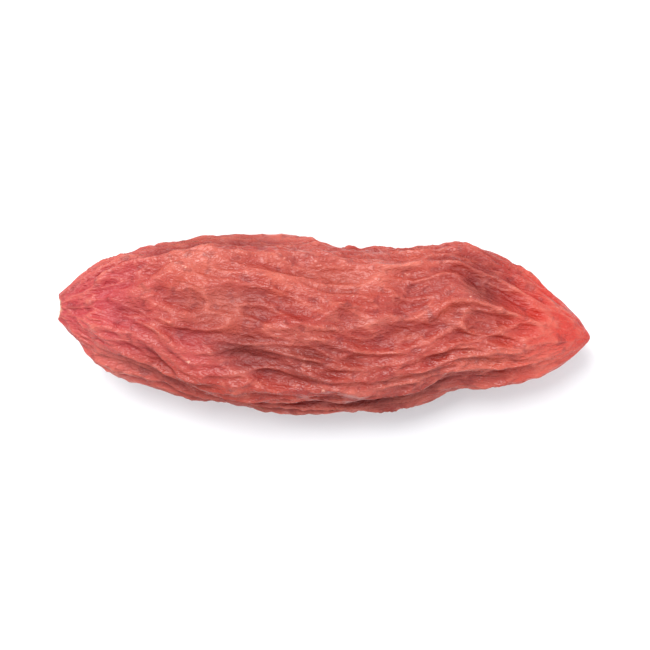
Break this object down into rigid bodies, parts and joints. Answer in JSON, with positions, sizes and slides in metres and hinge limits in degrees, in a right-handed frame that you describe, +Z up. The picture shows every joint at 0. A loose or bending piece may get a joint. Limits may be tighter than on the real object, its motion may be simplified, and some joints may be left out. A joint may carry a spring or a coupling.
{
  "type": "dried goji berry",
  "caption": "Long wrinkled dried berry with a stalk scar at one end and a pointed style end, lying flat; a loose food item.",
  "frame": {"origin": "on the table under the middle of the berry's bounding box", "axes": "+X along the berry from the stalk scar to the style end, +Y to the side that bulges near the style end, +Z up"},
  "size_m": [0.019, 0.0066, 0.0048],
  "materials": {
    "dried_skin": "satin, wrinkled and slightly see-through at the crests"
  },
  "bodies": {
    "root": {"dried_goji_berry": "dried_skin"}
  },
  "joints": []
}
